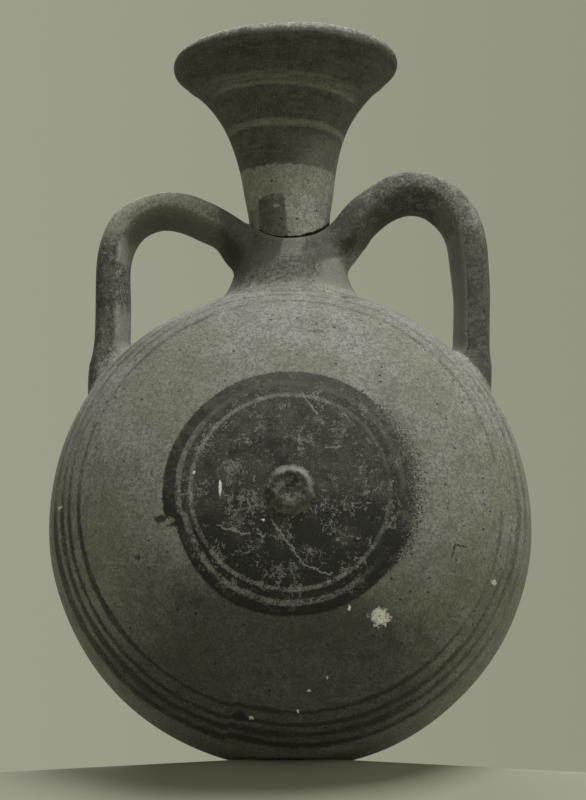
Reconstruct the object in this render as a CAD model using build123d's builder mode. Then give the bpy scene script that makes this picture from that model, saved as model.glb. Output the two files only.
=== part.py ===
import math
import os

from build123d import *

# A lentoid pilgrim flask of fired clay, in millimetres. It is put together as a potter
# does it: two thrown bowls are joined rim to rim, a collar and a thrown neck are set on
# the joint, and two pulled handles run from the collar to the shoulders. +Z is up the
# neck, the bowls' common axis lies along Y, the painted front faces -Y, and the origin
# is the middle of the small worn flat that the flask stands on.

# Body of two bowls. The fullness is the power of the rounded outline; 2 is an ellipse.
body_radius = 90.0
body_half_thickness = 64.5
body_wall = 5.5
body_fullness = 2.35
body_curve_steps = 10
rest_flat_depth = 1.3
seam_coil_radius = 3.5

# Clay buttons that close the wheel hole in the middle of each bowl
boss_radius = 8.3
boss_height = 3.2
boss_edge_radius = 1.9
boss_dimple_radius = 4.2
boss_dimple_depth = 0.8
boss_stem_radius = 5.5

# Collar on the body's rim. It hides a little of the bowls, narrows to a ledge round the
# neck's foot, and rises to the neck's seat, a saddle that dips at the front and back and
# climbs to the handles.
collar_foot_sink = 5.8
collar_foot_radius = 29.5
collar_rise = 18.0
collar_flare_shares = (
    (1.00, 0.00), (0.696, 0.14), (0.493, 0.30), (0.358, 0.45), (0.167, 0.62), (0.036, 0.80),
    (0.00, 1.00),
)
collar_ledge = 0.84
collar_top_land = 0.58
saddle_margin = 2.0
neck_bore_radius = 10.6
luting_thickness = 1.5
luting_overlap = 2.5

# Thrown neck with a flaring mouth and a thick rounded lip, set in the saddle
neck_seat_depth = 1.0
neck_length = 72.8
lip_centre_radius = 39.5
lip_roll_radius = 3.6
neck_outer_shares = (
    (0.394, 0.00), (0.406, 0.12), (0.428, 0.23), (0.445, 0.34), (0.471, 0.447), (0.522, 0.556),
    (0.600, 0.664), (0.673, 0.745), (0.767, 0.827), (0.876, 0.894),
)
neck_inner_shares = (
    (0.795, 0.945), (0.655, 0.840), (0.500, 0.700), (0.368, 0.520), (0.293, 0.300), (0.269, 0.180),
)

# Pulled strap handles, each an arm up from the collar, an arch and a straight leg. The
# arches' centres lie this far above the low point of the saddle.
handle_width = 24.0
handle_thickness = 12.5
handle_edge_radius = 4.5
handle_foot_sink = 14.0
arm_length = 27.0
left_arch_radius = 22.0
left_arch_reach = 45.4
left_arch_rise = -6.8
left_arm_slope = 29.0
right_arch_radius = 21.7
right_arch_reach = 46.8
right_arch_rise = 0.6
right_arm_slope = 50.0

# Cuts run past the clay by this much.
overrun = 5.0

# Heights that follow from the sizes, counted from the body's axis
collar_foot_height = body_radius - collar_foot_sink
saddle_low_height = body_radius + collar_rise
collar_top_radius = neck_outer_shares[0][0] * lip_centre_radius + collar_ledge
saddle_radius = collar_top_radius + saddle_margin
saddle_edge = collar_top_radius - collar_top_land
collar_top_height = saddle_low_height + saddle_radius - math.sqrt(saddle_radius**2 - saddle_edge**2)
neck_foot_height = saddle_low_height - neck_seat_depth
lip_centre_height = saddle_low_height + neck_length

axis_height = body_radius - rest_flat_depth
lens_plane = Plane.XY.offset(axis_height)
lens_axis = Axis((0, 0, axis_height), (0, 1, 0))
FRONT = -1
BACK = 1
LEFT = -1
RIGHT = 1


def draw_half_lens(side, radius, half_thickness):
    """Draw one bowl's outline, from its pole round to the rim and back along the axes."""
    power = 2 / body_fullness
    points = []
    for step in range(body_curve_steps + 1):
        turn = math.radians(90 * step / body_curve_steps)
        across = radius * max(0.0, math.sin(turn)) ** power
        along = half_thickness * max(0.0, math.cos(turn)) ** power
        points.append((across, side * along))
    curve = Spline(*points, tangents=[(1, 0), (0, -side)])
    Polyline(curve @ 1, (0, 0), curve @ 0)


def scaled_outline(shares, radius, low, height):
    """Turn pairs of shares into points of a neck outline, across and up."""
    return [(share * radius, axis_height + low + rise * height) for share, rise in shares]


def finish_piece(piece, name):
    """Name a finished piece and write it to its own file."""
    piece.part.label = name
    export_step(piece.part, f"parts/{name}.step")
    print(name, "volume", round(piece.part.volume), "solids", len(piece.part.solids()))


# The body's full outer form, which trims whatever is set on it
with BuildPart() as body_form:
    with BuildSketch(lens_plane):
        with BuildLine():
            draw_half_lens(FRONT, body_radius, body_half_thickness)
        make_face()
        with BuildLine():
            draw_half_lens(BACK, body_radius, body_half_thickness)
        make_face()
    revolve(axis=lens_axis)

# Outer form of the collar, before the bore and the saddle are cut
collar_height = collar_top_height - collar_foot_height
with BuildPart() as collar_form:
    with BuildSketch(Plane.XZ):
        with BuildLine():
            flare_reach = collar_foot_radius - collar_top_radius
            outline = [
                (collar_top_radius + share * flare_reach,
                 axis_height + collar_foot_height + rise * collar_height)
                for share, rise in collar_flare_shares
            ]
            flare = Spline(*outline)
            below = axis_height + collar_foot_height - overrun
            Polyline(flare @ 0, (collar_foot_radius, below), (0, below), (0, (flare @ 1).Y), flare @ 1)
        make_face()
    revolve(axis=Axis.Z)

# The cylinder that cuts the neck's seat across the collar
saddle_plane = Plane.XZ.offset(-collar_foot_radius)
with BuildPart() as saddle_form:
    with BuildSketch(saddle_plane):
        with Locations((0, axis_height + saddle_low_height + saddle_radius)):
            Circle(saddle_radius)
    extrude(amount=2 * collar_foot_radius)


def draw_neck_outside():
    """Draw the neck's outside from its foot up to the lip, and the lip's roll."""
    height = lip_centre_height - neck_foot_height
    points = scaled_outline(neck_outer_shares, lip_centre_radius, neck_foot_height, height)
    lip_height = axis_height + lip_centre_height
    reach = lip_roll_radius * math.sin(math.radians(45))
    under = (lip_centre_radius + reach, lip_height - reach)
    outer = (lip_centre_radius + reach, lip_height + reach)
    inner = (lip_centre_radius - reach, lip_height + reach)
    wall = Spline(*points, under, tangents=[(0, 1), (1, 1)])
    roll = ThreePointArc(under, outer, inner)
    return wall @ 0, roll @ 1


# The neck's full outer form, closed across its mouth
with BuildPart() as neck_form:
    with BuildSketch(Plane.XZ):
        with BuildLine():
            foot, inside_lip = draw_neck_outside()
            Polyline(inside_lip, (0, inside_lip.Y), (0, foot.Y), foot)
        make_face()
    revolve(axis=Axis.Z)


def make_bowl(side):
    """One thrown bowl of the body, with its share of the neck's hole and the rest flat."""
    with BuildPart() as bowl:
        with BuildSketch(lens_plane):
            with BuildLine():
                draw_half_lens(side, body_radius, body_half_thickness)
            make_face()
            with BuildLine():
                draw_half_lens(side, body_radius - body_wall, body_half_thickness - body_wall)
            make_face(mode=Mode.SUBTRACT)
        revolve(axis=lens_axis)
        split(bisect_by=Plane.XY, keep=Keep.TOP)
        with BuildSketch(lens_plane):
            Circle(neck_bore_radius)
        extrude(amount=body_radius + overrun, mode=Mode.SUBTRACT)
        with BuildSketch(Plane.XZ):
            with Locations((0, axis_height)):
                Circle(boss_stem_radius)
        extrude(amount=-side * (body_half_thickness + overrun), mode=Mode.SUBTRACT)
    return bowl


def make_boss(side, bowl):
    """The button of clay that plugs the hole in the middle of one bowl."""
    with BuildPart() as boss:
        with BuildSketch(lens_plane):
            with BuildLine():
                inside = side * (body_half_thickness - body_wall)
                top = side * (body_half_thickness + boss_height)
                shoulder = side * (body_half_thickness + boss_height - boss_edge_radius)
                dimple = side * (body_half_thickness + boss_height - boss_dimple_depth)
                flat_start = boss_radius - boss_edge_radius
                turn = math.radians(45)
                round_point = (
                    flat_start + boss_edge_radius * math.cos(turn),
                    shoulder + side * boss_edge_radius * math.sin(turn),
                )
                Polyline((0, inside), (boss_radius, inside), (boss_radius, shoulder))
                ThreePointArc((boss_radius, shoulder), round_point, (flat_start, top))
                Line((flat_start, top), (boss_dimple_radius, top))
                Spline((boss_dimple_radius, top), (0, dimple), tangents=[(-1, 0), (-1, 0)])
                Line((0, dimple), (0, inside))
            make_face()
        revolve(axis=lens_axis)
        add(bowl.part, mode=Mode.SUBTRACT)
    return boss


front_shell = make_bowl(FRONT)
back_shell = make_bowl(BACK)
front_boss = make_boss(FRONT, front_shell)
back_boss = make_boss(BACK, back_shell)

# Roll of soft clay pressed over the joint of the two rims, inside, up to the neck's hole
with BuildPart() as seam_coil:
    with BuildSketch(lens_plane):
        with Locations((body_radius - body_wall, 0)):
            Circle(seam_coil_radius)
    revolve(axis=lens_axis)
    add(front_shell.part, mode=Mode.SUBTRACT)
    add(back_shell.part, mode=Mode.SUBTRACT)
    with BuildSketch(lens_plane):
        Circle(neck_bore_radius)
    extrude(amount=body_radius + overrun, mode=Mode.SUBTRACT)

# Collar, luted over the hole in the body's rim
with BuildPart() as neck_collar:
    add(collar_form.part)
    add(body_form.part, mode=Mode.SUBTRACT)
    add(saddle_form.part, mode=Mode.SUBTRACT)
    with BuildSketch(lens_plane):
        Circle(neck_bore_radius)
    extrude(amount=collar_top_height + overrun, mode=Mode.SUBTRACT)

# Neck, thrown on its own and set in the collar's saddle
with BuildPart() as neck_funnel:
    with BuildSketch(Plane.XZ):
        with BuildLine():
            foot, inside_lip = draw_neck_outside()
            flare_height = lip_centre_height - neck_foot_height
            hollow = scaled_outline(
                neck_inner_shares, lip_centre_radius, neck_foot_height, flare_height)
            throat = (neck_bore_radius, hollow[-1][1])
            Spline(inside_lip, *hollow[:-1], throat, tangents=[(-1, -1), (0, -1)])
            Polyline(throat, (neck_bore_radius, foot.Y), foot)
        make_face()
    revolve(axis=Axis.Z)
    add(neck_collar.part, mode=Mode.SUBTRACT)

# Smear of clay inside the bore, over the joint of collar and neck
with BuildPart() as neck_luting_ring:
    with BuildSketch(Plane.XZ):
        with BuildLine():
            low = (neck_bore_radius, axis_height + saddle_low_height - luting_overlap)
            high = (neck_bore_radius, axis_height + collar_top_height + luting_overlap)
            middle = (neck_bore_radius - luting_thickness, (low[1] + high[1]) / 2)
            ThreePointArc(low, middle, high)
            Line(high, low)
        make_face()
    revolve(axis=Axis.Z)


def make_handle(side, radius, reach, rise, slope):
    """One pulled strap handle, trimmed to the collar, the neck and the body."""
    angle = math.radians(slope)
    height = saddle_low_height + rise
    centre = Vector(side * reach, 0, axis_height + height)
    along = Vector(side * math.cos(angle), 0, math.sin(angle))
    bend = centre + Vector(-side * math.sin(angle), 0, math.cos(angle)) * radius
    shoulder = math.sqrt(body_radius**2 - (reach + radius) ** 2)
    leg_length = height - shoulder + handle_foot_sink
    with BuildPart() as handle:
        with BuildLine(Plane.XZ) as route:
            Line(bend - along * arm_length, bend)
            arch = JernArc(bend, along, radius, -side * (slope + 90))
            Line(arch @ 1, arch @ 1 - Vector(0, 0, leg_length))
        start = Plane(route.line @ 0, x_dir=(0, 1, 0), z_dir=route.line % 0)
        with BuildSketch(start):
            RectangleRounded(handle_width, handle_thickness, handle_edge_radius)
        sweep(path=route.line)
        add(body_form.part, mode=Mode.SUBTRACT)
        add(collar_form.part, mode=Mode.SUBTRACT)
        add(neck_form.part, mode=Mode.SUBTRACT)
    return handle


left_handle = make_handle(
    LEFT, left_arch_radius, left_arch_reach, left_arch_rise, left_arm_slope)
right_handle = make_handle(
    RIGHT, right_arch_radius, right_arch_reach, right_arch_rise, right_arm_slope)

os.makedirs("parts", exist_ok=True)
finish_piece(front_shell, "front_shell")
finish_piece(back_shell, "back_shell")
finish_piece(seam_coil, "seam_coil")
finish_piece(front_boss, "front_boss")
finish_piece(back_boss, "back_boss")
finish_piece(neck_collar, "neck_collar")
finish_piece(neck_funnel, "neck_funnel")
finish_piece(neck_luting_ring, "neck_luting_ring")
finish_piece(left_handle, "left_handle")
finish_piece(right_handle, "right_handle")
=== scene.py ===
import math

import bmesh
import bpy
from mathutils import Matrix, Vector, noise


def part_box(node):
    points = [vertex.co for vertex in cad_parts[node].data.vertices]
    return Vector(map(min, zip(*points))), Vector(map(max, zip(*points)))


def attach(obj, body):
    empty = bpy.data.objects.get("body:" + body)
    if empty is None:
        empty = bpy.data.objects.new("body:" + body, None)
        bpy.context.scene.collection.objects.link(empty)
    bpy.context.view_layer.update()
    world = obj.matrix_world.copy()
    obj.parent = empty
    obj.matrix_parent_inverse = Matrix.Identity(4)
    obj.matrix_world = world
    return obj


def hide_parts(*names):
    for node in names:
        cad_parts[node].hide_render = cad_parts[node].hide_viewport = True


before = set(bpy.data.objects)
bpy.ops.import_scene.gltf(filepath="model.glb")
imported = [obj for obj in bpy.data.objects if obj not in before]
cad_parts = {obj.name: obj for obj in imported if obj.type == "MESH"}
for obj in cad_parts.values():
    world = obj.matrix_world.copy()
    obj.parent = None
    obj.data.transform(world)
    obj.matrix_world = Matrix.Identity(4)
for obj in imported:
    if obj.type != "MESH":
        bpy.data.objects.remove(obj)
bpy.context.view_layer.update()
MM = 0.001

# Where the flask stands
# It stands upright on the worn flat of its body. The body was turned about an axis
# along Y, and the neck about the upright Z.
boss_low, boss_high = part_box("front_boss")
boss_height = 3.2 * MM
axis_z = (boss_low.z + boss_high.z) / 2
body_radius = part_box("front_shell")[1].x
half_thickness = -boss_low.y - boss_height

# Camera
# The real flask leans back, so it is seen from a little below its own level. The lens
# is long, and the body sits under the middle of the picture.
picture_width, picture_height = 586, 800
body_pixel = (290.3, 526.7)
focal_pixels = 3469
sensor_height = 24
view_distance = 1300 * MM
view_below = math.radians(11.9)
look_up = math.atan((body_pixel[1] - picture_height / 2) / focal_pixels)
look_right = math.atan((picture_width / 2 - body_pixel[0]) / focal_pixels)


def placed(name, data):
    """Put an object in the scene, with this camera, mesh or light."""
    made = bpy.data.objects.new(name, data)
    bpy.context.scene.collection.objects.link(made)
    return made


lens = bpy.data.cameras.new("camera")
lens.sensor_fit = "VERTICAL"
lens.sensor_height = sensor_height
lens.lens = focal_pixels / picture_height * sensor_height
camera = placed("camera", lens)
camera.location = (
    0, -view_distance * math.cos(view_below), axis_z - view_distance * math.sin(view_below))
camera.rotation_euler = (math.radians(90) + view_below + look_up, 0, -look_right)
bpy.context.scene.camera = camera

# Two thrown bowls of the body
# Each was thrown on the wheel in fine pale clay, dried to leather, and joined rim to
# rim to the other. The outside was wiped smooth and painted with a brush as it turned.
bowl_wall = 5.5 * MM
bowl_fullness = 2.35
bowl_rows = 72
bowl_turns = 360
hand_unevenness = 0.45 * MM
hand_reach = 38 * MM
hand_seed = 3.1
neck_hole_radius = 10.6 * MM
neck_hole_turns = 96
nearly_touching = 0.001 * MM
crease = math.radians(50)
grain_depth = 0.25 * MM

# Sizes of the paint, in millimetres. The noise that frays its edges has a scale and a reach.
ring_radii = (76.8, 80.7, 83.5, 86.4)
ring_widths = (1.3, 1.2, 1.7, 1.4)
smear_radius = 84.4
disc_radius = 45.1
disc_blur = 0.4
circle_radii = (40.3, 35.7)
brush_fray = (1.1, 1.5)

PALE = (0.268, 0.273, 0.252, 1)
PALE_LIGHT = (0.375, 0.380, 0.345, 1)
PALE_WARM = (0.225, 0.221, 0.176, 1)
PALE_DARK = (0.135, 0.134, 0.111, 1)
SLIP = (0.042, 0.042, 0.032, 1)
SLIP_THIN = (0.118, 0.117, 0.096, 1)
SLIP_THICK = (0.020, 0.020, 0.016, 1)
PIT = (0.040, 0.040, 0.030, 1)
LIME = (0.285, 0.290, 0.262, 1)
CIRCLE = (0.190, 0.194, 0.172, 1)
CHIP = (0.82, 0.81, 0.73, 1)


class Value:
    """A shader socket. Sums and products of values add the Math nodes that work them out."""

    def __init__(self, tree, socket):
        self.tree = tree
        self.socket = socket

    def node(self, kind, settings=None, sockets=None, output=0):
        """Add a node, give it its settings and then its sockets, and return one output."""
        made = self.tree.nodes.new(kind)
        for name, setting in (settings or {}).items():
            setattr(made, name, setting)
        for name, given in (sockets or {}).items():
            if isinstance(given, Value):
                self.tree.links.new(given.socket, made.inputs[name])
            else:
                made.inputs[name].default_value = given
        return Value(self.tree, made.outputs[output])

    def math(self, operation, *numbers):
        """Work out the numbers, each a value or a plain number, with one Math node."""
        return self.node("ShaderNodeMath", {"operation": operation}, dict(enumerate(numbers)))

    def __add__(self, other):
        return self.math("ADD", self, other)

    def __sub__(self, other):
        return self.math("SUBTRACT", self, other)

    def __mul__(self, other):
        return self.math("MULTIPLY", self, other)

    def __truediv__(self, other):
        return self.math("DIVIDE", self, other)

    def __pow__(self, other):
        return self.math("POWER", self, other)

    def __rsub__(self, other):
        return self.math("SUBTRACT", other, self)

    __radd__ = __add__
    __rmul__ = __mul__

    def size(self):
        return self.math("ABSOLUTE", self)

    def least(self, other):
        return self.math("MINIMUM", self, other)

    def most(self, other):
        return self.math("MAXIMUM", self, other)

    def rise(self, low, high, bottom=0.0, top=1.0):
        """Go smoothly from bottom to top as the value goes from low to high."""
        return self.node("ShaderNodeMapRange", {"interpolation_type": "SMOOTHSTEP"}, {
            "Value": self, "From Min": low, "From Max": high, "To Min": bottom, "To Max": top})

    def fall(self, low, high):
        """Go smoothly from 1 to 0 as the value goes from low to high."""
        return self.rise(low, high, 1.0, 0.0)

    def vector(self, y, z):
        return self.node("ShaderNodeCombineXYZ", None, {"X": self, "Y": y, "Z": z})

    def speckle(self, scale, detail=3.0, rough=0.5, offset=None):
        """Cloudy noise on a vector, from 0 to 1 about one half."""
        place = self
        if offset is not None:
            place = self.node("ShaderNodeVectorMath", {"operation": "ADD"}, {0: self, 1: offset})
        return self.node("ShaderNodeTexNoise", None, {
            "Vector": place, "Scale": scale, "Detail": detail, "Roughness": rough})

    def pushed(self, scale, reach, detail=3.0, offset=(3, 8, 5)):
        """A place pushed about by noise, so that what is drawn on it has a ragged edge."""
        push = self.speckle(scale, detail, 0.6, offset=offset)
        push = Value(self.tree, push.socket.node.outputs["Color"])
        centred = self.node("ShaderNodeVectorMath", {"operation": "SUBTRACT"}, {
            0: push, 1: (0.5, 0.5, 0.5)})
        return self.node("ShaderNodeVectorMath", {"operation": "MULTIPLY_ADD"}, {
            0: centred, 1: (reach, reach, reach), 2: self})

    def crackle(self, scale, width):
        """Mask of a broken net of thin lines, this wide in the place's own unit."""
        cells = self.node("ShaderNodeTexVoronoi", {"feature": "DISTANCE_TO_EDGE"}, {
            "Vector": self, "Scale": scale})
        return cells.fall(width * scale * 0.3, width * scale)

    def scaled(self, share):
        """A colour or vector times a value."""
        return self.node("ShaderNodeVectorMath", {"operation": "SCALE"}, {0: self, "Scale": share})

    def mix(self, first, second):
        """Blend two colours, with this value as the share of the second."""
        factor, first_colour, second_colour, colour_out = 0, 6, 7, 2
        return self.node("ShaderNodeMix", {"data_type": "RGBA"}, {
            factor: self, first_colour: first, second_colour: second}, colour_out)


def clay(name):
    """Start a material, and return it and its place, in millimetres from the body's middle."""
    material = bpy.data.materials.new(name)
    material.use_nodes = True
    place = Value(material.node_tree, None).node("ShaderNodeTexCoord", output="Object")
    return material, place.node("ShaderNodeMapping", None, {
        "Vector": place, "Location": (0, 0, -axis_z / MM), "Scale": (1 / MM, 1 / MM, 1 / MM)})


def fire(material, colour, relief, rough_pits, rough_grain, depth=grain_depth):
    """Give a material its finish: matt fired clay with a bump of this depth."""
    tree = material.node_tree
    shader = tree.nodes["Principled BSDF"]
    roughness = relief.rise(-0.5, 0.6, rough_pits, rough_grain)
    bump = relief.node("ShaderNodeBump", None, {
        "Strength": 1.0, "Distance": depth, "Height": relief})
    for name, value in (("Base Color", colour), ("Roughness", roughness), ("Normal", bump)):
        tree.links.new(value.socket, shader.inputs[name])
    shader.inputs["Specular IOR Level"].default_value = 0.3


def parts_of(vector):
    """The x, y and z of a vector."""
    split = vector.node("ShaderNodeSeparateXYZ", None, {"Vector": vector})
    sockets = split.socket.node.outputs
    return [Value(vector.tree, sockets[axis]) for axis in ("X", "Y", "Z")]


def turn_of(x, z):
    """Turn round the body's axis: 0 at the left, and a quarter turn at the bottom."""
    return z.math("ARCTAN2", 0 - z, 0 - x)


def strongest(masks):
    """Lay masks over each other, so that the strongest shows at each place."""
    whole = masks[0]
    for mask in masks[1:]:
        whole = whole.most(mask)
    return whole


def fine_grain(place):
    """The clay's finest grain, where paint wears off first."""
    return place.speckle(1.6, 4.0, 0.8, offset=(8, 1, 5))


def bare_clay(place):
    """Bare pale clay: its colour and its relief, with clouds, sandy grain and small pits."""
    clouds = place.speckle(0.035, 4.0, 0.6).rise(0.42, 0.60)
    stains = place.speckle(0.11, 5.0, 0.65, offset=(31, 7, 12)).rise(0.48, 0.64)
    grain = place.speckle(0.45, 5.0, 0.85)
    sand = place.speckle(1.1, 2.0, 0.8, offset=(6, 3, 9))
    colour = clouds.mix(PALE, PALE_WARM)
    colour = (stains * 0.5).mix(colour, PALE_DARK)
    colour = grain.rise(0.48, 0.60, 0.0, 0.8).mix(colour, PALE_DARK)
    colour = sand.rise(0.51, 0.60, 0.0, 0.85).mix(colour, PALE_DARK)
    colour = (sand.fall(0.32, 0.44) * 0.42).mix(colour, PALE_LIGHT)
    cells = place.node("ShaderNodeTexVoronoi", None, {"Vector": place, "Scale": 0.30})
    lucky = parts_of(Value(place.tree, cells.socket.node.outputs["Color"]))[0]
    pits = cells.fall(0.07, 0.20) * lucky.rise(0.64, 0.72)
    colour = (pits * 0.85).mix(colour, PIT)
    relief = grain * 0.6 + sand * 0.2 - pits * 0.9
    return colour, relief


def brushed_rings(place, colour):
    """Four thin rings of slip, brushed on as the body turned, over a colour."""
    x, _, z = parts_of(place.pushed(*brush_fray))
    out = ((x * x + z * z) ** 0.5).most(1.0)
    across = x / out
    upward = z / out
    turn = turn_of(x, z)
    full = turn.rise(-0.10, 0.06) * turn.fall(1.7, 2.9)
    faint = (upward * 0.8 + across * 0.5).rise(0.2, 0.9)
    restart = turn.rise(1.29, 1.31) * turn.fall(1.32, 1.8)
    sway = (place.speckle(0.02, 2.0) - 0.5) * 2.2 + (place.speckle(0.2, 3.0) - 0.5) * 0.5
    scuffs = place.speckle(0.9, 5.0, 0.8, offset=(5, 9, 2)) * 0.7
    scuffs = scuffs + place.speckle(0.12, 3.0) * 0.3
    lines = []
    for radius, width in zip(ring_radii, ring_widths):
        stroke = (across * 1.8).vector(upward * 1.8, radius * 0.7).speckle(1.0, 4.0)
        half = stroke.rise(0.3, 0.7, 0.6, 1.35) * width * (full * 0.15 + 0.40)
        away = (out + sway + restart * 0.9 - radius).size() - half
        lines.append(away.fall(-0.35, 0.35) * (stroke + full * 0.25).rise(0.34, 0.50, 0.30, 1.0))
    smear = (out + sway - smear_radius).size().fall(1.0, 1.9)
    smear = smear * turn.rise(0.55, 0.70) * turn.fall(0.85, 1.05)
    worn = (scuffs - full * 0.05 + faint * 0.03).fall(0.46, 0.62)
    rings = strongest(lines + [smear * 0.6]) * worn * (full * 0.32 + 0.52)
    return rings.mix(colour, SLIP_THICK)


def daub(x, z, fray, middle, reach, ragged):
    """Mask of one daub or chip: 1 inside an oval with a ragged edge."""
    along = (x - middle[0]) / reach[0]
    up = (z - middle[1]) / reach[1]
    return ((along * along + up * up) ** 0.5 + fray * ragged).fall(0.7, 1.1)


def scratch(x, z, fray, start, end, width, ragged=1.5):
    """Mask of a thin crooked line between two places."""
    run = Vector((end[0] - start[0], end[1] - start[1]))
    length = run.length
    run.normalize()
    along = (x - start[0]) * run.x + (z - start[1]) * run.y
    off = (x - start[0]) * -run.y + (z - start[1]) * run.x + fray * ragged
    ends = along.rise(-0.4, 0.4) * along.fall(length - 0.4, length + 0.4)
    return off.size().fall(width * 0.4, width) * ends


def as_mesh(name, shape):
    """Make a mesh of a shape, and let the shape go."""
    mesh = bpy.data.meshes.new(name)
    shape.to_mesh(mesh)
    shape.free()
    return mesh


def lens_outline(radius, half, rows):
    """Points round one bowl from its pole to its rim, as distance out and along."""
    points = []
    for row in range(rows + 1):
        turn = math.pi / 2 * row / rows
        out = radius * math.sin(turn) ** (2 / bowl_fullness)
        along = half * max(0.0, math.cos(turn)) ** (2 / bowl_fullness)
        points.append((out, along))
    return points


def spin_round(outline, centre, axis, turns):
    """Turn a closed outline right round an axis, as clay turns on the wheel."""
    turned = bmesh.new()
    corners = [turned.verts.new(point) for point in outline]
    sides = [turned.edges.new(pair) for pair in zip(corners, corners[1:] + corners[:1])]
    bmesh.ops.spin(
        turned, geom=corners + sides, cent=centre, axis=axis, angle=2 * math.pi,
        steps=turns, use_merge=True)
    bmesh.ops.remove_doubles(turned, verts=turned.verts, dist=nearly_touching)
    bmesh.ops.recalc_face_normals(turned, faces=turned.faces)
    return turned


def hand_worked(shape, amount, size, seed):
    """Push the surface in and out a little, as hands leave it."""
    shape.normal_update()
    moves = []
    for corner in shape.verts:
        push = noise.noise(corner.co / size + Vector((seed, seed, seed)))
        moves.append(corner.normal * push * amount)
    for corner, move in zip(shape.verts, moves):
        corner.co += move


def reworked(shape, kind, **settings):
    """Put a shape through one modifier and return the result as a shape."""
    mesh = as_mesh("work", shape)
    work = placed("work", mesh)
    modifier = work.modifiers.new("work", kind)
    for name, setting in settings.items():
        setattr(modifier, name, setting)
    bpy.context.view_layer.update()
    done = work.evaluated_get(bpy.context.evaluated_depsgraph_get()).to_mesh()
    result = bmesh.new()
    result.from_mesh(done)
    bpy.data.objects.remove(work)
    bpy.data.meshes.remove(mesh)
    return result


def cut_away(shape, cutter):
    """Cut one shape out of another."""
    mesh = as_mesh("cutter", cutter)
    tool = placed("cutter", mesh)
    result = reworked(shape, "BOOLEAN", operation="DIFFERENCE", solver="EXACT", object=tool)
    bpy.data.objects.remove(tool)
    bpy.data.meshes.remove(mesh)
    return result


def bore(low, high):
    """An upright round rod, for cutting the neck's bore."""
    made = bmesh.new()
    middle = Matrix.Translation((0, 0, (low + high) / 2))
    bmesh.ops.create_cone(
        made, cap_ends=True, segments=neck_hole_turns, radius1=neck_hole_radius,
        radius2=neck_hole_radius, depth=high - low, matrix=middle)
    return made


def make_bowl(side):
    """Throw one bowl. Its side is -1 at the front and 1 at the back."""
    outside = lens_outline(body_radius, half_thickness, bowl_rows)
    inside = lens_outline(body_radius - bowl_wall, half_thickness - bowl_wall, bowl_rows // 3)
    outline = [(out, side * along, axis_z) for out, along in outside + inside[::-1]]
    bowl = spin_round(outline, (0, 0, axis_z), (0, 1, 0), bowl_turns)
    hand_worked(bowl, hand_unevenness, hand_reach, hand_seed)
    for corner in bowl.verts:
        corner.co.z = max(corner.co.z, 0)
    return cut_away(bowl, bore(axis_z, axis_z + body_radius * 1.2))


def finish_piece(shape, name, material, node):
    """Make a piece of a shape, with smooth faces, and put it in its node's place."""
    mesh = as_mesh(name, shape)
    mesh.polygons.foreach_set("use_smooth", [True] * len(mesh.polygons))
    mesh.set_sharp_from_angle(angle=crease)
    mesh.materials.append(material)
    piece = placed(name, mesh)
    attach(piece, "root")
    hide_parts(node)


body_paint, place = clay("brushed_slip_on_pale_clay")
x, y, z = parts_of(place.pushed(*brush_fray))
out = (x * x + z * z) ** 0.5
across = x / out.most(1.0)
upward = z / out.most(1.0)
turn = turn_of(x, z)
front = y.fall(-4, 2)
colour, relief = bare_clay(place)
fine = fine_grain(place)
fray = place.speckle(0.8, 4.0, 0.75, offset=(2, 7, 7)) - 0.5
drift = place.speckle(0.035, 3.0, offset=(4, 4, 1)) - 0.5

# The body darkens downwards, most in an oval below the disc: painted shade of its underside
# together with some stain of the clay, weaker near the rim and on the right
shade_across, shade_up = (x + 2) / 68, (z + 62) / 44
low_shade_and_stain = (shade_across * shade_across + shade_up * shade_up) ** 0.5
low_shade_and_stain = (low_shade_and_stain + drift * 1.2).fall(0.40, 1.20)
low_shade_and_stain = (low_shade_and_stain * 0.80 + z.fall(-75, 10) * 0.30) * out.rise(83, 89, 1.0, 0.35)
low_shade_and_stain = low_shade_and_stain * x.rise(20, 70, 1.0, 0.65)
colour = colour.scaled(low_shade_and_stain.rise(0.0, 1.0, 0.87, 0.34))
colour = brushed_rings(place, colour)

# The disc starts and ends at a blob on its left, where the brush came round. Its right
# edge is worn to specks. Its lower half kept more slip.
blob_before = turn.rise(-1.3, 0.10) * turn.fall(0.17, 0.23)
blob_after = turn.rise(0.17, 0.23) * turn.fall(0.25, 1.2)
edge = out + fray + drift * 1.2 - blob_before * 0.9 + blob_after * 2.3
edge = edge + (across * 0.9 + upward * 0.1).rise(0.55, 0.95) * (fine - 0.53) * 45
disc = edge.fall(disc_radius - disc_blur, disc_radius + disc_blur)
top_rub = (upward - across * 0.3).rise(0.55, 1.0) * out.rise(41.0, 42.0)
right_rub = (across * 0.9 - upward * 0.05).rise(0.45, 0.95) * out.rise(32, 46)
wear = fine * 0.6 + place.speckle(0.35, 4.0, 0.7) * 0.4
left_ring = out.rise(40.5, 41.5) * across.fall(-0.75, -0.20)
slip_left = (wear + right_rub * 0.01 + top_rub * 0.01).fall(0.53, 0.61).most(left_ring)
lower_sway = (place.speckle(0.10, 4.0, offset=(1, 9, 4)) - 0.5) * 110
lower = (z + fray * 30 + lower_sway).fall(-20, 12)
clouds = place.speckle(0.20, 6.0, 0.75).rise(0.44, 0.58)
slip_tone = (clouds * (1 - lower) * 0.40).mix(SLIP, SLIP_THIN)
slip_tone = (lower * (1 - clouds * 0.15)).mix(slip_tone, SLIP_THICK)
slip_tone = (top_rub * 0.20).mix(slip_tone, SLIP_THIN)
slip_tone = (left_ring * clouds.rise(0.2, 0.9, 0.6, 0.1)).mix(slip_tone, SLIP_THICK)
slip_tone = slip_tone.scaled(lower.rise(0.0, 1.0, 0.78, 0.80))
cover = (slip_left * 0.50 + lower * 0.45 + 0.50).least(1.0)
colour = (disc * cover).mix(colour, slip_tone)

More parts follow.
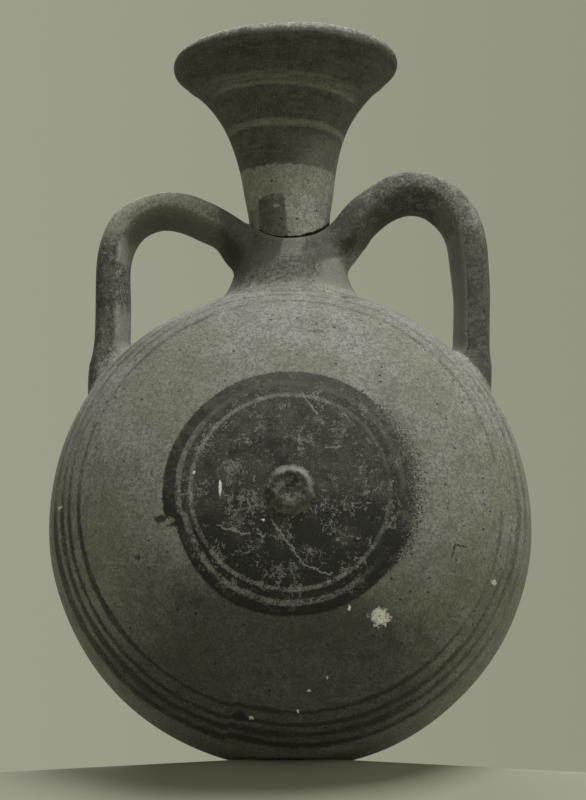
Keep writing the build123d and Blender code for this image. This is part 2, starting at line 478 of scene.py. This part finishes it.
# Two pale circles drawn in the disc
circle_sway = (place.speckle(0.05, 2.0, offset=(7, 3, 3)) - 0.5) * 1.2
outer_circle = (out - circle_radii[0] + circle_sway + blob_after * 1.6).size().fall(0.6, 1.4)
outer_circle = outer_circle * turn.rise(-0.9, -0.4, 0.25, 1.0) * turn.fall(1.6, 2.7)
inner_circle = (out - circle_radii[1] + circle_sway).size().fall(0.4, 1.0)
inner_circle = inner_circle * (across + upward * 0.25).rise(0.3, 0.95, 1.0, 0.35)
circles = outer_circle.most(inner_circle) * wear.fall(0.46, 0.57)
colour = (disc * circles * 0.9).mix(colour, CIRCLE)

# Lime that came out of the clay in a crackle and in specks, mostly over the disc. Here
# and there it is thick, as in the star below the button. Each thick patch has a middle,
# a reach across and up, and a share. Each vein has its two ends and a width.
thick_lime = (
    ((-1.5, -17.0), (4.5, 5.0), 1.0), ((-6.5, -29.8), (6.0, 2.5), 0.8),
    ((-18.8, -1.4), (7.0, 2.5), 0.9), ((14.2, 15.8), (5.0, 1.5), 0.8),
    ((-17.9, -12.0), (4.5, 3.0), 0.7), ((9.0, -22.0), (4.0, 3.0), 0.7),
    ((3.0, -24.0), (3.0, 5.0), 0.7), ((-22.0, -23.0), (5.0, 4.0), 0.6),
    ((33.0, -33.0), (3.0, 2.0), 0.6))
lime_veins = (
    ((-6.5, -11.0), (5.2, -27.0), 0.5), ((5.2, -27.0), (14.0, -30.5), 0.5),
    ((4.5, 36.7), (9.3, 28.0), 0.4), ((-26, -13.0), (-14, -16.0), 0.5),
    ((12.0, 15.7), (18.0, 15.9), 0.4))
bent = place.pushed(0.45, 6.0, 4.0, (1, 4, 6)).pushed(1.2, 0.5)
wavy_x, _, wavy_z = parts_of(place.pushed(0.3, 5.0, 5.0, (7, 7, 2)))
thick = strongest([
    daub(wavy_x, wavy_z, fray, middle, reach, 2.5) * share for middle, reach, share in thick_lime])
patch = place.speckle(0.13, 4.0, 0.6, offset=(9, 1, 3)) * 0.6
patch = patch + place.speckle(0.9, 3.0, 0.7) * 0.4 + thick * 0.055
crackle = bent.crackle(0.22, 0.26) * (patch - lower * 0.008).rise(0.508, 0.545)
crackle = crackle.most(bent.crackle(0.50, 0.20) * patch.rise(0.55, 0.59) * 0.8)
dust = fine.rise(0.57, 0.65) * (0.55 - lower * 0.42)
lime = strongest([crackle.most(dust) * out.fall(38, 46)] + [
    scratch(wavy_x, wavy_z, fray, start, end, width) for start, end, width in lime_veins])
lime = lime * front
colour = (lime * 0.62).mix(colour, LIME)

# Single marks on the front: white chips, blobs and smudges of slip, and a crack in two
# runs. A mark has a middle and a reach, and a dark one also a raggedness and a share.
long_chip = ((-25.1, 1.0), (0.6, 3.0), 0.8)
chips = (
    ((31.9, -44.4), (3.5, 3.4)), ((20.9, -41.8), (0.7, 1.0)), ((6.7, -69.5), (0.9, 0.6)),
    ((-14.1, -77.8), (0.8, 0.5)), ((2.8, -75.9), (0.5, 0.7)), ((73.8, -28.2), (0.9, 0.9)),
    ((-9.6, -11.0), (0.9, 0.6)), ((-34.5, 7.0), (0.5, 0.5)), ((13.0, -65.0), (0.5, 0.5)),
    ((-84.5, 1.2), (1.2, 0.6)))
blobs = (
    ((-46.4, -9.3), (2.4, 1.5), 2.0, 1.0), ((-41.0, -11.5), (2.2, 1.2), 2.0, 1.0),
    ((-18.4, -77.0), (2.6, 1.8), 0.8, 1.0), ((-33.6, -39.3), (3.0, 1.6), 2.5, 0.5),
    ((-54.9, -22.2), (1.2, 1.6), 2.5, 0.6), ((10.1, 62.2), (4.2, 0.7), 2.5, 0.5),
    ((27.0, -58.0), (4.0, 1.2), 2.5, 0.4), ((20.3, 80.9), (1.5, 1.2), 2.5, 0.6))
crack_runs = (((57.8, -22.4), (59.2, -17.6)), ((59.2, -17.5), (63.2, -17.8)))
crack_width = 0.35
sharp_x, _, sharp_z = parts_of(place)
x, _, z = parts_of(place.pushed(0.9, 2.2))
white = strongest([daub(sharp_x, sharp_z, fray, *long_chip)] + [
    daub(x, z, fray, middle, reach, 2.5) for middle, reach in chips])
white = white * fine.fall(0.52, 0.66)
crack = strongest([scratch(x, z, fray, *ends, crack_width, 1.0) for ends in crack_runs])
dark = strongest([
    daub(x, z, fray, middle, reach, ragged) * share for middle, reach, ragged, share in blobs])
dark = dark.most(crack)
colour = (dark * front * 0.9).mix(colour, SLIP_THICK)
colour = (white * front).mix(colour, CHIP)
relief = relief + (lime * 0.3 + white * 0.8 - crack) * front
fire(body_paint, colour, relief, 0.92, 0.78)

finish_piece(make_bowl(-1), "front_bowl", body_paint, "front_shell")
finish_piece(make_bowl(1), "back_bowl", body_paint, "back_shell")

# Buttons of clay on the bowls
# Each plugs the hole that throwing left in the middle of a bowl. It was pressed in,
# thumbed to a soft rim with a dimple, and painted with the disc.
boss_radius = 9.2 * MM
boss_crest = 5.9 * MM
boss_crest_height = 2.0 * MM
boss_dimple = 0.8 * MM
boss_shoulder = 1.3
button_rows = 24
button_turns = 96


def make_button(side):
    """Thumb one button. Its side is -1 at the front and 1 at the back."""
    sunk = half_thickness - bowl_wall / 2
    outline = [(0, sunk), (boss_radius, sunk)]
    for row in range(button_rows + 1):
        out = boss_radius * (1 - row / button_rows)
        if out > boss_crest:
            share = (boss_radius - out) / (boss_radius - boss_crest)
            up = boss_crest_height * math.sin(math.pi / 2 * share) ** boss_shoulder
        else:
            up = boss_crest_height - boss_dimple * (1 + math.cos(math.pi * out / boss_crest)) / 2
        outline.append((out, half_thickness + up))
    outline = [(out, side * along, axis_z) for out, along in outline]
    button = spin_round(outline, (0, 0, axis_z), (0, 1, 0), button_turns)
    hand_worked(button, amount=0.35 * MM, size=6 * MM, seed=8.7)
    return button


button_paint, place = clay("slip_on_button_with_painted_light")
x, _, z = parts_of(place.pushed(*brush_fray))
out = (x * x + z * z) ** 0.5
relief = bare_clay(place)[1]
fine = fine_grain(place)
slip_tone = place.speckle(0.35, 5.0, 0.7).rise(0.44, 0.62).mix(SLIP_THICK, SLIP_THIN)
# Its lower part is lightened: painted fill light against the shade below the rim
slip_tone = (z.fall(-8, -1) * 0.45).mix(slip_tone, SLIP_THIN)
# A crescent of lime round the upper right of the rim, partly worn specks and partly a painted
# highlight where the rim catches the light
rubbed_and_highlit = (out - 7.4).size().fall(0.4, 1.2) * (z + x * 0.4).rise(1, 6) * fine.fall(0.46, 0.60)
colour = (rubbed_and_highlit * 0.55).mix(slip_tone, LIME)
colour = (fine.rise(0.54, 0.62) * 0.35).mix(colour, LIME)
fire(button_paint, colour, relief, 0.9, 0.75)

finish_piece(make_button(-1), "front_button", button_paint, "front_boss")
finish_piece(make_button(1), "back_button", button_paint, "back_boss")

# Collar and handles
# The collar is a ring of clay luted over the hole in the body's rim. The handles were
# pulled as straps, bent while soft and pressed on, and wet fingers ran the joins smooth.

# The collar's outline goes out and up, and a strap's stations are across, up, thick and
# wide, all in millimetres from the body's middle.
collar_outline = (
    (29.5, 84.2), (25.5, 88.8), (22.9, 94.0), (21.1, 99.0), (18.6, 104.5), (17.0, 110.5),
    (16.6, 118.6))
collar_inner_foot = 70
collar_turns = 96
saddle_radius = 18.4
saddle_low = 108.0
saddle_end = 0.97
left_stations = (
    (-6.0, 99.0, 16.0, 20), (-18.6, 108.6, 16.4, 21), (-24.0, 114.3, 12.6, 22),
    (-31.9, 118.7, 13.0, 22), (-40.5, 122.2, 12.4, 22), (-48.6, 123.2, 11.6, 22),
    (-56.0, 121.1, 11.8, 22), (-61.4, 117.4, 12.8, 22), (-65.2, 111.3, 12.8, 22.5),
    (-67.2, 103.2, 12.8, 23), (-67.5, 89.7, 13.0, 23), (-67.4, 72.7, 13.4, 24),
    (-67.6, 64.5, 14.6, 25.5), (-68.0, 57.0, 17.0, 28), (-67.5, 49.0, 17.0, 28))
right_stations = (
    (8.0, 96.0, 16.0, 20), (20.6, 111.2, 15.4, 22), (25.8, 118.5, 14.0, 24),
    (30.5, 123.2, 13.6, 25), (37.0, 127.6, 13.4, 26), (44.8, 130.2, 13.2, 27),
    (52.4, 129.4, 13.4, 27), (58.7, 125.8, 14.0, 27), (63.6, 120.4, 14.2, 26.5),
    (66.6, 113.4, 14.4, 26), (68.1, 103.1, 14.6, 26), (68.9, 89.7, 14.0, 26),
    (68.8, 78.0, 13.6, 26), (68.3, 67.0, 14.0, 26.5), (68.2, 57.5, 16.0, 29),
    (67.5, 49.0, 16.0, 29))
strap_squareness = 3.6
strap_inner_taper = 0.40
strap_sides = 48
between_stations = 4
voxel = 0.9 * MM
even_softening = 8
join_softening = 44
join_reach = 7.0
armpit_reach = 36.0
armpit_middle = 28.0
armpit_top = 110.5
armpit_slope = 0.30
body_under_join = 0.55 * MM
body_under_low = 36 * MM
body_under_rows = 40
body_under_turns = 180
foot_depth = 2.2 * MM
foot_across, foot_up = 0.75, 0.66
pad_floor_height = 82 * MM
bore_low, bore_high = 60 * MM, 140 * MM


def through(stations):
    """Smoothly fill in the places between chosen stations."""
    filled = []
    last = len(stations) - 1
    for index in range(last):
        before = stations[max(index - 1, 0)]
        start, end = stations[index], stations[index + 1]
        after = stations[min(index + 2, last)]
        for step in range(between_stations):
            t = step / between_stations
            filled.append([
                0.5 * (2 * b + (c - a) * t + (2 * a - 5 * b + 4 * c - d) * t * t
                       + (3 * b - 3 * c + d - a) * t ** 3)
                for a, b, c, d in zip(before, start, end, after)])
    filled.append(list(stations[-1]))
    return filled


def pull_strap(stations):
    """Pull a strap of clay through its stations, each a rounded oblong across its run."""
    strap = bmesh.new()
    places = through(stations)
    outer_side = -1 if places[-1][0] > 0 else 1
    loops = []
    for index, (out, up, thick, wide) in enumerate(places):
        behind, ahead = places[max(index - 1, 0)], places[min(index + 1, len(places) - 1)]
        run = Vector((ahead[0] - behind[0], 0, ahead[1] - behind[1])).normalized()
        outward = Vector((run.z, 0, -run.x)) * outer_side
        made = bmesh.ops.create_circle(strap, segments=strap_sides, radius=1.0)["verts"]
        for corner in made:
            a, b = corner.co.x, corner.co.y
            full = abs(a) ** strap_squareness + abs(b) ** strap_squareness
            full = full ** (-1 / strap_squareness)
            a, b = a * full, b * full
            if a < 0:
                a *= 1 - strap_inner_taper * max(0.0, -b)
            offset = outward * (a * thick / 2) + Vector((0, b * wide / 2, 0))
            corner.co = (Vector((out, 0, up)) + offset) * MM + Vector((0, 0, axis_z))
        loops.append(list({edge for corner in made for edge in corner.link_edges}))
    for first, second in zip(loops, loops[1:]):
        bmesh.ops.bridge_loops(strap, edges=first + second)
    bmesh.ops.holes_fill(strap, edges=strap.edges)
    bmesh.ops.recalc_face_normals(strap, faces=strap.faces)
    return strap


def saddle_height(across):
    """Height of the seat of the neck above the body's axis, in millimetres."""
    reach = min(abs(across), saddle_radius * saddle_end)
    return saddle_low + saddle_radius - math.sqrt(saddle_radius ** 2 - reach ** 2)


def make_collar():
    """Turn the solid collar, with the seat of the neck pressed into its top."""
    foot, top = collar_outline[0][0], collar_outline[-1][1]
    outline = [(0, collar_inner_foot), (foot, collar_inner_foot)]
    outline += through(collar_outline) + [(0, top)]
    outline = [(out * MM, 0, axis_z + up * MM) for out, up in outline]
    core = spin_round(outline, (0, 0, 0), (0, 0, 1), collar_turns)
    for corner in core.verts:
        corner.co.z = min(corner.co.z, axis_z + saddle_height(corner.co.x / MM) * MM)
    return core


def cut_off(shape, point, direction):
    """Cut off what lies behind a plane, and leave the cut open."""
    bmesh.ops.bisect_plane(
        shape, geom=shape.verts[:] + shape.edges[:] + shape.faces[:],
        plane_co=point, plane_no=direction, clear_inner=True)


def make_shoulders():
    """The body's upper part, just under its skin, for the handles and collar to grow from."""
    half = lens_outline(
        body_radius - body_under_join, half_thickness - body_under_join, body_under_rows)
    outline = [(out, -along, axis_z) for out, along in half]
    outline += [(out, along, axis_z) for out, along in half[-2::-1]]
    core = spin_round(outline, (0, 0, axis_z), (0, 1, 0), body_under_turns)
    hand_worked(core, hand_unevenness, hand_reach, hand_seed)
    cut_off(core, (0, 0, axis_z + body_under_low), (0, 0, 1))
    bmesh.ops.holes_fill(core, edges=core.edges)
    bmesh.ops.recalc_face_normals(core, faces=core.faces)
    return core


def joined(*shapes):
    """Put several shapes in one."""
    whole = bmesh.new()
    for shape in shapes:
        mesh = as_mesh("join", shape)
        whole.from_mesh(mesh)
        bpy.data.meshes.remove(mesh)
    return whole


def off_body(place):
    """Rough distance of a place from the body's skin, in millimetres."""
    out = math.hypot(place.x, place.z - axis_z) / body_radius
    along = abs(place.y) / half_thickness
    share = (out ** bowl_fullness + along ** bowl_fullness) ** (1 / bowl_fullness)
    return (share - 1) * body_radius / MM


def near_join(place):
    """Whether wet fingers ran over this place, to smooth a join."""
    across, up = abs(place.x) / MM, (place.z - axis_z) / MM
    in_armpit = (
        across < armpit_reach and up < armpit_top - armpit_slope * (armpit_middle - across))
    return in_armpit or off_body(place) < join_reach


def kept(whole, cuts):
    """Copy a shape and keep what lies on the far side of each cut, closed again."""
    shape = whole.copy()
    for point, direction in cuts:
        cut_off(shape, point, direction)
        rims = [edge for edge in shape.edges if edge.is_boundary]
        bmesh.ops.holes_fill(shape, edges=rims)
    bmesh.ops.recalc_face_normals(shape, faces=shape.faces)
    return shape


def foot_cut(side):
    """The cut that ends a handle's foot under the body's skin. Its side is -1 on the left."""
    slope = Vector((side * foot_across, 0, foot_up)).normalized()
    return Vector((0, 0, axis_z)) + slope * (body_radius - foot_depth), slope


mass = joined(
    make_collar(), make_shoulders(), pull_strap(left_stations), pull_strap(right_stations))
mass = reworked(mass, "REMESH", mode="VOXEL", voxel_size=voxel, adaptivity=0)
joins = [corner for corner in mass.verts if near_join(corner.co)]
for stroke in range(even_softening + join_softening):
    softened = mass.verts if stroke < even_softening else joins
    bmesh.ops.smooth_vert(
        mass, verts=softened, factor=0.5, use_axis_x=True, use_axis_y=True, use_axis_z=True)
hand_worked(mass, amount=0.35 * MM, size=14 * MM, seed=5.3)

pad_floor = (Vector((0, 0, axis_z + pad_floor_height)), Vector((0, 0, 1)))
left_root = (Vector((-25.5 * MM, 0, axis_z + 115 * MM)), Vector((-0.87, 0, 0.49)))
right_root = (Vector((27 * MM, 0, axis_z + 118 * MM)), Vector((0.90, 0, 0.43)))
left_strap = kept(mass, [left_root, foot_cut(-1)])
right_strap = kept(mass, [right_root, foot_cut(1)])
collar = kept(mass, [
    (left_root[0], -left_root[1]), (right_root[0], -right_root[1]), pad_floor])
mass.free()
collar = cut_away(collar, bore(axis_z + bore_low, axis_z + bore_high))

SLIP_RUBBED = (0.185, 0.184, 0.158, 1)


def normal_parts(place):
    """The x, y and z of the way that the surface faces."""
    return parts_of(place.node("ShaderNodeNewGeometry", output="Normal"))


def worn_slip(place, easing):
    """Dark slip with thin and thick places, and how far it is worn through to the clay."""
    thin = place.speckle(0.16, 6.0, 0.75, offset=(6, 2, 9)).rise(0.42, 0.58)
    grit = place.speckle(0.9, 3.0, 0.8, offset=(2, 2, 5))
    tone = (thin * 0.7 + grit.rise(0.42, 0.60, -0.3, 0.5)).most(0.0).mix(SLIP, SLIP_THIN)
    wear = place.speckle(1.0, 4.0, 0.8, offset=(3, 3, 8)) * 0.6
    wear = wear + place.speckle(0.25, 4.0, 0.7) * 0.4
    return tone, (wear + easing).rise(0.50, 0.60)


root_paint, place = clay("worn_slip_on_handles_and_collar")
x, _, z = parts_of(place.pushed(*brush_fray))
out = (x * x + z * z) ** 0.5
nx, _, nz = normal_parts(place)
clean, relief = bare_clay(place)
fray = place.speckle(0.35, 4.0, 0.65, offset=(2, 7, 7)) - 0.5
grit = place.speckle(0.9, 4.0, 0.8, offset=(7, 7, 1)) - 0.5
on_collar = x.rise(-28, -24) * x.fall(23, 29)
on_handles = x.size().rise(24, 34)
legs = (x.size() - 52).rise(0, 14) * z.fall(104, 116)

# Clay under the slip: stained on the collar, lighter on the left handle's inner side, where the
# clay is bare and a painted highlight pales it, and crossed at the collar's foot by the body's
# rings
stained = (z + x * 0.5).fall(104, 116) * (z + fray * 6).rise(86, 91) * on_collar * 0.9
clean = (stained * (1 + grit * 4)).mix(clean, PALE_DARK)
inside_left = (nx + fray * 0.4 + grit * 0.5).rise(0.10, 0.50)
inside_left = inside_left * (z + fray * 8).fall(107, 112) * x.fall(-57, -53)
# Painted highlight on the left handle's inner side, which faces the light
clean = (inside_left * 0.2).mix(clean, PALE_LIGHT)
clean = brushed_rings(place, clean.scaled(1 - on_collar * x.fall(6, 14) * 0.20))

# Slip of the handles: darkest down their legs, and rubbed on the left one's arch, round the right
# one's bend and on the right one's inner side. Their undersides are lightened with painted fill
# light, the left arch's top is paled by wear and a painted highlight, and painted shade darkens
# under the arches.
bend = ((x - 68) * (x - 68) + (z - 124) * (z - 124)) ** 0.5
# Wear of the left handle, strongest on its upward faces, which is partly a painted highlight
left_worn_and_highlit = x.fall(-34, -22) * nz.rise(-0.2, 0.7, 0.0, 0.16)
right_worn = bend.fall(6, 32) * 0.05 + x.rise(24, 34) * nz.rise(0.3, 0.9, 0.0, 0.05)
tone, worn = worn_slip(place, left_worn_and_highlit + right_worn - legs * (0.04 + x.rise(0, 1) * 0.05))
# Painted fill light: the undersides turn to thinner, paler slip
under = nz.fall(-0.45, -0.15) * on_handles
tone = (under * 0.9).mix(tone, SLIP_THIN)
inside_right = (fray * 0.2 - nx).rise(0.40, 0.56) * x.rise(53, 57)
tone = inside_right.mix(tone, SLIP_RUBBED)
left_arch = x.fall(-34, -24) * z.rise(106, 114)
# Painted shade under the arches, with a crisp edge
shade = (nz + fray * 0.25 + grit * 0.15).fall(-0.26, -0.14) * on_handles * z.rise(100, 108)
# The left arch turns to pale clay where it is worn, and most on its upward faces as a painted
# highlight
rubbed_and_highlit = left_arch * (1 - shade * 0.65) * (0.66 + nz.rise(0.1, 0.8, 0.0, 0.3) + grit * 4.5)
tone = rubbed_and_highlit.most(0.0).mix(tone, PALE_WARM)
# Darker down the legs, with painted shade under the right arch
tone = tone.scaled(1 - legs * 0.22 - x.rise(24, 34) * shade * 0.45)

# The slip runs on to the collar from both sides, black from the left and grey from the
# right, and leaves a bare patch between, smudged low down
black = (x - (z - 100.3) * 0.24 + fray * 4).fall(-5.2, -3.8)
black = black * (z - x * 0.42 + fray * 6).rise(99.5, 102.5)
black = black.most(x.fall(-26, -22))
grey = (z - (x * 0.55 + 90.5) + fray * 5).rise(0.5, 3.0)
grey = grey * (x - (z - 100) * 0.13 + fray * 3).rise(3.2, 5.0)
grey = grey.most(x.rise(25, 30))
dipped = (1 - inside_left * 0.80) * (out + fray * 4 - x.rise(0, 1) * 0.5).rise(89.6, 90.8)
dipped = dipped.most(on_collar)
smudge = (z + fray * 14 - x * 0.10).rise(86.5, 92.0)
smudge = smudge * (x + fray * 8).fall(9, 14) * (z + fray * 8).fall(98.5, 101.5)
colour = (smudge * (1 - worn) * (0.75 + grit * 5)).most(0.0).mix(clean, SLIP)
tone = (on_collar * x.rise(2, 6) * 0.55).mix(tone, SLIP)
colour = (grey * dipped * (0.92 - worn * (0.72 - on_collar * 0.40))).mix(colour, tone)
tone = (black * on_collar * 0.9).mix(tone, SLIP)
colour = (black * dipped * (0.95 - worn * (0.75 - on_collar * 0.35))).mix(colour, tone)
fire(root_paint, colour, relief, 0.9, 0.75)

finish_piece(left_strap, "left_strap", root_paint, "left_handle")
finish_piece(right_strap, "right_strap", root_paint, "right_handle")
finish_piece(collar, "collar", root_paint, "neck_collar")

# Neck
# It was thrown on its own, with a flaring mouth and a thick rolled lip, and set in the
# saddle of the collar. The join has opened to a crack. The paint was banded on the wheel.
neck_outside = (
    (15.5, 107.0), (15.8, 113.0), (16.4, 120.0), (17.0, 128.0), (17.9, 136.0), (19.2, 143.0),
    (21.2, 150.0), (24.0, 157.0), (27.3, 163.0), (31.2, 168.5), (35.4, 173.2), (39.4, 176.4))
neck_inside = (
    (31.4, 177.7), (25.9, 169.0), (19.8, 158.7), (14.5, 145.4), (11.6, 129.1), (10.6, 120.3),
    (10.6, 107.0))
lip_centre = (39.5, 181.8)
lip_roll = 3.7
lip_start, lip_sweep = -60, 205
lip_rows = 18
neck_turns = 300
neck_lean = math.radians(1.5)
neck_foot = neck_outside[0][1]
foot_rise = 22.0
crack_gap = 1.0
crack_tilt = 0.012
crack_roughness = 0.5
crack_grain = 2.5 * MM

outline = through(neck_outside)[:-1]
for row in range(lip_rows + 1):
    turn = math.radians(lip_start + lip_sweep * row / lip_rows)
    outline.append(
        (lip_centre[0] + lip_roll * math.cos(turn), lip_centre[1] + lip_roll * math.sin(turn)))
outline += through(neck_inside)
outline = [(out * MM, 0, axis_z + up * MM) for out, up in outline]
neck = spin_round(outline, (0, 0, 0), (0, 0, 1), neck_turns)
for corner in neck.verts:
    across, up = corner.co.x / MM, (corner.co.z - axis_z) / MM
    share = max(0.0, 1 - (up - neck_foot) / foot_rise)
    rough = noise.noise(Vector((corner.co.x, corner.co.y, 0)) / crack_grain)
    gap = crack_gap + across * crack_tilt + rough * crack_roughness
    corner.co.z += (saddle_height(across) - neck_foot + gap) * share * MM
hand_worked(neck, amount=0.4 * MM, size=22 * MM, seed=1.7)
bmesh.ops.rotate(
    neck, verts=neck.verts, cent=(0, 0, axis_z + saddle_low * MM),
    matrix=Matrix.Rotation(-neck_lean, 3, "Y"))

neck_paint, place = clay("banded_slip_on_neck")
x, y, z = parts_of(place.pushed(*brush_fray))
out = ((x * x + y * y) ** 0.5).most(1.0)
across = x / out
bare, relief = bare_clay(place)
bare = bare.scaled(1.1)
nz = normal_parts(place)[2]
fine = fine_grain(place)
fray = place.speckle(0.30, 4.0, 0.65, offset=(2, 7, 7)) - 0.5
streaks = (across * 3.0).vector(y / out * 3.0, z * 0.9).speckle(1.0, 4.0, 0.65)

# Dark slip over the upper part, rubbed thin low on the right
right_side = across.rise(0.1, 0.7) * z.fall(146, 150)
tone, worn = worn_slip(place, right_side * 0.03 - 0.05)
tone = (right_side.fall(0.0, 1.0) * 0.45).mix(tone, SLIP)
tone = (streaks.rise(0.42, 0.66) * 0.40).mix(tone, SLIP_THIN)
thin_side = z.fall(146, 152) * across.rise(-0.4, 0.8) * 0.35
tone = thin_side.mix(tone, SLIP_RUBBED)
banded = z + x * 0.035 + (place.speckle(0.07, 3.0) - 0.5) * 1.6
dark = (banded + fray * 4).rise(136.4, 137.2)

# One broad stroke of slip, low on the front
stroke_left = (x + (z - 112) * 0.045 + fray * 1.2).rise(-12.2, -11.2)
stroke_right = (x + (z - 112) * 0.10 + fray * 2.0).fall(-1.8, -0.6)
stroke = stroke_left * stroke_right * (z + fray * 8).fall(123.5, 126.0) * y.fall(-6, -3)
stroke = stroke * (0.95 - daub(x, z, fray, (-5.6, 121.0), (1.6, 0.9), 2.0) * 0.8)
colour = (dark.most(stroke) * (0.97 - worn * 0.5)).mix(bare, tone)

# A pale line, and above it a pale band with a thin line at its foot
line = (banded - 152.2 + fray * 0.8).size().fall(0.5, 1.8) * across.rise(-1.1, -0.5, 0.45, 1.0)
band = (banded - 167.2 + fray * 0.8).size().fall(1.7, 2.8) * streaks.rise(0.35, 0.6, 0.25, 0.55)
band = band.most((banded - 165.4 + fray * 0.6).size().fall(0.3, 1.1) * 0.85)
band = band * across.rise(-1.0, -0.8) * across.fall(0.86, 0.98)
bands = line.most(band) * fine.fall(0.50, 0.60) * streaks.rise(0.3, 0.5, 0.6, 1.0)
colour = (bands * 0.8).mix(colour, PALE_WARM)

# The lip is rubbed and chipped along its top, and lime stands out in specks
lip_top = (nz + fray * 1.6).rise(0.05, 0.65) * (z + fray * 6).rise(179.5, 182.5)
lip_chips = place.speckle(0.9, 5.0, 0.8, offset=(1, 1, 6)).rise(0.49, 0.55)
colour = (lip_top * (0.22 + lip_chips * 0.50)).mix(colour, PALE_LIGHT)
specks = place.speckle(1.3, 2.0, 0.6, offset=(5, 5, 2)).rise(0.67, 0.71) * z.rise(136, 140)
colour = (specks * 0.7).mix(colour, LIME)
fire(neck_paint, colour, relief, 0.9, 0.75)

finish_piece(neck, "neck", neck_paint, "neck_funnel")

# Rolls of clay inside
# A soft roll of the same clay was pressed over the seam of the bowls, and a smear of it
# over the neck's join. Neither was wiped smooth.
inner_depth = 0.4 * MM
inner_clay, place = clay("rough_clay_inside")
colour, relief = bare_clay(place)
fire(inner_clay, colour, relief, 0.95, 0.85, inner_depth)
for name in ("seam_coil", "neck_luting_ring"):
    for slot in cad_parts[name].material_slots:
        slot.material = inner_clay

# Ground
# A broad ridge of pale plaster, flat where the flask stands. It falls away to the front
# and back, and gently to the sides, so it shows under the flask from a camera this low.
mound_flat = 15.2 * MM
mound_flat_along = 8.5 * MM
mound_side_slope = math.tan(math.radians(3))
mound_near_slope = math.tan(math.radians(34))
mound_far_slope = math.tan(math.radians(12))
mound_knee = 46 * MM
mound_bend = 2 * MM
mound_reach = 2600 * MM
mound_steps = 160
mound_fineness = 0.06
PLASTER = (0.25, 0.245, 0.19, 1)


def eased(run):
    """A length that starts at nothing with a soft bend."""
    return math.sqrt(max(run, 0.0) ** 2 + mound_bend ** 2) - mound_bend


ground = bmesh.new()
bmesh.ops.create_grid(ground, x_segments=mound_steps, y_segments=mound_steps, size=1.0)
for corner in ground.verts:
    x, y = [
        mound_reach * (mound_fineness * share + (1 - mound_fineness) * share ** 3)
        for share in corner.co.xy]
    fall = mound_side_slope * eased(abs(x) - mound_flat)
    fall += mound_near_slope * eased(abs(y) - mound_flat_along)
    fall -= (mound_near_slope - mound_far_slope) * eased(abs(y) - mound_knee)
    corner.co = (x, y, -fall)
mesh = as_mesh("ground", ground)
mesh.polygons.foreach_set("use_smooth", [True] * len(mesh.polygons))
ground_paint = bpy.data.materials.new("pale_plaster")
ground_paint.use_nodes = True
ground_shader = ground_paint.node_tree.nodes["Principled BSDF"]
ground_shader.inputs["Base Color"].default_value = PLASTER
ground_shader.inputs["Roughness"].default_value = 0.95
mesh.materials.append(ground_paint)
placed("ground", mesh)

# Light
# A plain studio wall, a little paler on the left, dark below and dim overhead. Soft glows
# light the flask from the right, the left and the front, with one lamp above and one behind.
WALL_LEFT = (0.345, 0.337, 0.258, 1)
WALL_RIGHT = (0.300, 0.293, 0.224, 1)
WALL_BELOW = (0.030, 0.029, 0.022, 1)
CEILING = (0.10, 0.10, 0.09, 1)
GLOW = (1.0, 0.97, 0.78, 1)

world = bpy.data.worlds.new("studio")
world.use_nodes = True
direction = Value(world.node_tree, None).node("ShaderNodeTexCoord", output="Generated")
right, back, height = parts_of(direction)
wall = right.rise(-0.12, 0.12).mix(WALL_LEFT, WALL_RIGHT)
tint = height.rise(-0.30, -0.06).mix(WALL_BELOW, wall)
tint = height.rise(0.40, 0.60).mix(tint, CEILING)
right_glow = right.rise(0.35, 0.90) * height.rise(-0.40, 0.10)
left_glow = right.fall(-0.90, -0.35) * height.rise(-0.40, 0.10)
front_glow = back.fall(-0.90, -0.20) * height.rise(-0.25, 0.15) * height.fall(0.3, 0.8)
glow = (right_glow * 0.85 + left_glow * 0.27 + front_glow * 0.34).least(1.0)
tint = glow.mix(tint, GLOW)
backdrop = world.node_tree.nodes["Background"]
world.node_tree.links.new(tint.socket, backdrop.inputs["Color"])
bpy.context.scene.world = world


def add_light(name, place, size, power):
    """Hang a square lamp that points at the body."""
    light = bpy.data.lights.new(name, "AREA")
    light.size = size
    light.energy = power
    lamp = placed(name, light)
    lamp.location = place
    aim = Vector((0, 0, axis_z)) - Vector(place)
    lamp.rotation_euler = aim.to_track_quat("-Z", "Y").to_euler()


add_light("key_from_above", (0.33, -0.54, 1.53), 0.5, 26)
add_light("fill_from_behind", (-0.30, 1.10, 1.25), 0.6, 12)
bpy.context.scene.view_settings.view_transform = "Standard"
